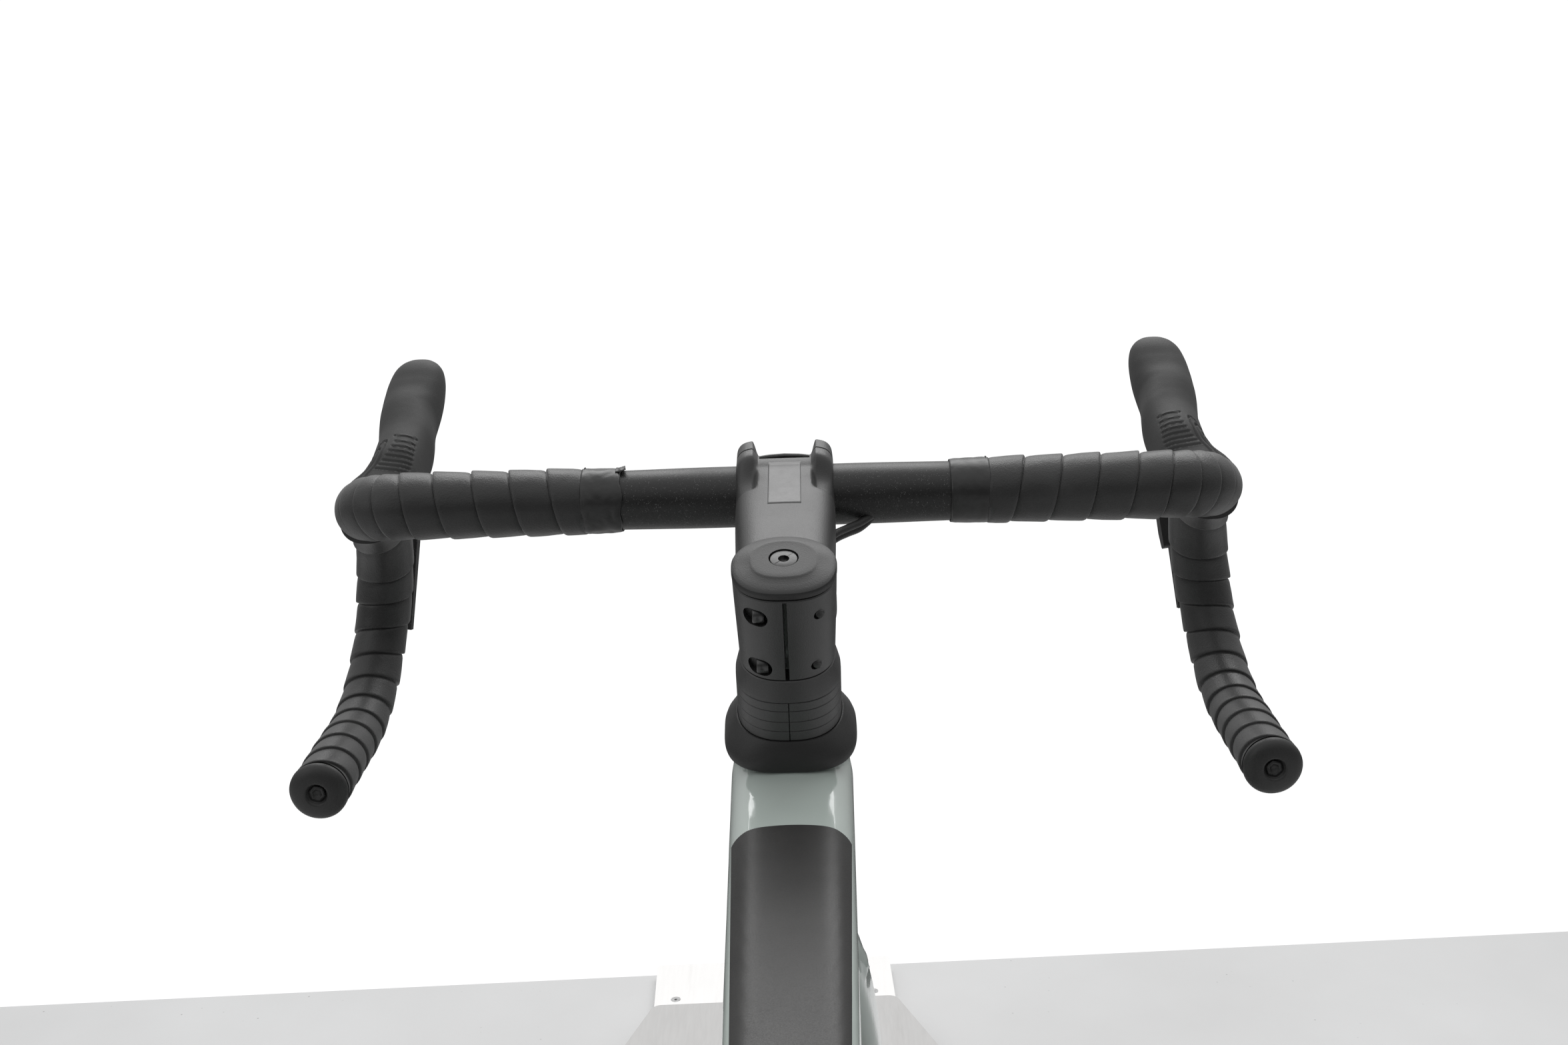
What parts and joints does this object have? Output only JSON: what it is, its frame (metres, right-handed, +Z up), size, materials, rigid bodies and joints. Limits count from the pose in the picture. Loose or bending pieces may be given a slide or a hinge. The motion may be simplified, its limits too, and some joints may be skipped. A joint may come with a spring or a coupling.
{
  "type": "bicycle on stand",
  "caption": "Drop-bar cyclocross bicycle with disc brakes, its rear axle held in the hooks of a floor stand on a long display platform.",
  "frame": {"origin": "on the underside of the platform's base board, directly below the bottom bracket", "axes": "+Y forward along the bicycle, +X to the drive side, +Z up"},
  "size_m": [0.6277, 2.453, 1.0294],
  "materials": {
    "white_board": "painted",
    "grey_deck": "painted",
    "steel": "brushed",
    "black_steel": "black",
    "chain_steel": "oiled",
    "stand_metal": "powder coat",
    "black_rubber": "matt",
    "frame_paint": "gloss over dark panel",
    "fork_paint": "gloss",
    "black_alloy": "satin black",
    "black_carbon": "satin",
    "black_plastic": "satin",
    "saddle_skin": "satin",
    "tape": "dry grip",
    "finishing": "creased",
    "hood_rubber": "matt",
    "tyre": "matt"
  },
  "bodies": {
    "stand": {"base_board": "white_board", "deck_plate": "grey_deck", "platform_screws": "steel", "stand_leg_left": "stand_metal", "stand_leg_right": "stand_metal", "hook_liners": "black_rubber"},
    "frame": {"front_triangle": "frame_paint", "rear_triangle": "frame_paint", "headset_cups": "steel", "bottom_bracket": "black_alloy", "rear_axle": "black_alloy", "seat_clamp": "black_alloy", "rear_derailleur": "black_alloy", "chain": "chain_steel", "rear_caliper": "black_alloy", "rear_hose": "black_plastic"},
    "saddle": {"seatpost": "black_carbon", "saddle_clamp": "black_alloy", "saddle_rails": "steel", "saddle_shell": "black_plastic", "saddle_cover": "saddle_skin"},
    "steering": {"fork": "fork_paint", "headset_cover": "black_plastic", "spacers": "black_plastic", "stem": "black_alloy", "stem_faceplate": "black_alloy", "stem_bolts": "steel", "top_cap": "black_plastic", "handlebar": "black_alloy", "bar_tape_left": "tape", "bar_tape_right": "tape", "finishing_tape": "finishing", "bar_plugs": "black_plastic", "hood_left": "hood_rubber", "hood_right": "hood_rubber", "steering_hoses": "black_plastic", "front_caliper": "black_alloy", "front_axle": "black_alloy"},
    "left_lever": {"brake_lever_left": "black_alloy"},
    "right_lever": {"brake_lever_right": "black_alloy"},
    "paddle": {"shift_paddle": "black_plastic"},
    "front_wheel": {"front_tyre": "tyre", "front_rim": "black_carbon", "front_spokes": "black_steel", "front_hub": "black_alloy", "front_rotor": "steel"},
    "rear_wheel": {"rear_tyre": "tyre", "rear_rim": "black_carbon", "rear_spokes": "black_steel", "rear_hub": "black_alloy", "rear_rotor": "steel"},
    "crankset": {"left_crank": "black_alloy", "right_crank": "black_alloy", "chainring": "black_alloy"},
    "left_pedal_body": {"left_pedal": "black_alloy"},
    "right_pedal_body": {"right_pedal": "black_alloy"},
    "sprockets": {"cassette": "steel"},
    "cage": {"derailleur_cage": "black_plastic"},
    "guide_wheel": {"guide_pulley": "black_plastic"},
    "tension_wheel": {"tension_pulley": "black_plastic"}
  },
  "joints": [
    {"name": "bike_lift", "type": "slide", "parent": "stand", "child": "frame", "axis": [0, 0, 1], "range_m": [0, 0.12]},
    {"name": "seatpost_slide", "type": "slide", "parent": "frame", "child": "saddle", "axis": [0, -0.284, 0.9588], "range_m": [-0.06, 0.03]},
    {"name": "steering_turn", "type": "hinge", "parent": "frame", "child": "steering", "pos_m": [0, 0.38802, 0.88495], "axis": [0, -0.3173, 0.9483], "range_deg": [-60, 60]},
    {"name": "front_wheel_spin", "type": "hinge", "parent": "steering", "child": "front_wheel", "pos_m": [0, 0.6063, 0.3744], "axis": [-1, 0, 0], "continuous": true},
    {"name": "rear_wheel_spin", "type": "hinge", "parent": "frame", "child": "rear_wheel", "pos_m": [0, -0.42, 0.3744], "axis": [-1, 0, 0], "continuous": true},
    {"name": "crank_spin", "type": "hinge", "parent": "frame", "child": "crankset", "pos_m": [0, 0, 0.3094], "axis": [-1, 0, 0], "continuous": true, "deforming": ["chain"]},
    {"name": "right_pedal_spin", "type": "hinge", "parent": "crankset", "child": "right_pedal_body", "pos_m": [0.109, 0.1725, 0.3094], "axis": [-1, 0, 0], "continuous": true},
    {"name": "left_pedal_spin", "type": "hinge", "parent": "crankset", "child": "left_pedal_body", "pos_m": [-0.109, -0.1725, 0.3094], "axis": [-1, 0, 0], "continuous": true},
    {"name": "cassette_spin", "type": "hinge", "parent": "frame", "child": "sprockets", "pos_m": [0, -0.42, 0.3744], "axis": [-1, 0, 0], "continuous": true},
    {"name": "cage_swing", "type": "hinge", "parent": "frame", "child": "cage", "pos_m": [0.0475, -0.426, 0.2984], "axis": [1, 0, 0], "range_deg": [-20, 25], "stiffness_Nm_per_rad": 0.5, "deforming": ["chain"]},
    {"name": "guide_pulley_spin", "type": "hinge", "parent": "cage", "child": "guide_wheel", "pos_m": [0.0475, -0.426, 0.2984], "axis": [-1, 0, 0], "continuous": true},
    {"name": "tension_pulley_spin", "type": "hinge", "parent": "cage", "child": "tension_wheel", "pos_m": [0.0475, -0.396, 0.2444], "axis": [-1, 0, 0], "continuous": true},
    {"name": "right_brake_pull", "type": "hinge", "parent": "steering", "child": "right_lever", "pos_m": [0.22436, 0.60412, 0.97596], "axis": [-0.9903, 0, -0.1392], "range_deg": [0, 12], "stiffness_Nm_per_rad": 1},
    {"name": "left_brake_pull", "type": "hinge", "parent": "steering", "child": "left_lever", "pos_m": [-0.22436, 0.60412, 0.97596], "axis": [-0.9903, 0, 0.1392], "range_deg": [0, 12], "stiffness_Nm_per_rad": 1},
    {"name": "shift_paddle_swing", "type": "hinge", "parent": "right_lever", "child": "paddle", "pos_m": [0.2163, 0.59712, 0.94353], "axis": [0.1392, 0, -0.9903], "range_deg": [0, 14], "stiffness_Nm_per_rad": 0.4}
  ],
  "couplings": [
    {"joint": "cassette_spin", "follows": "crank_spin", "ratio": 2.3529},
    {"joint": "guide_pulley_spin", "follows": "crank_spin", "ratio": -3.3333},
    {"joint": "tension_pulley_spin", "follows": "crank_spin", "ratio": 3.3333}
  ]
}
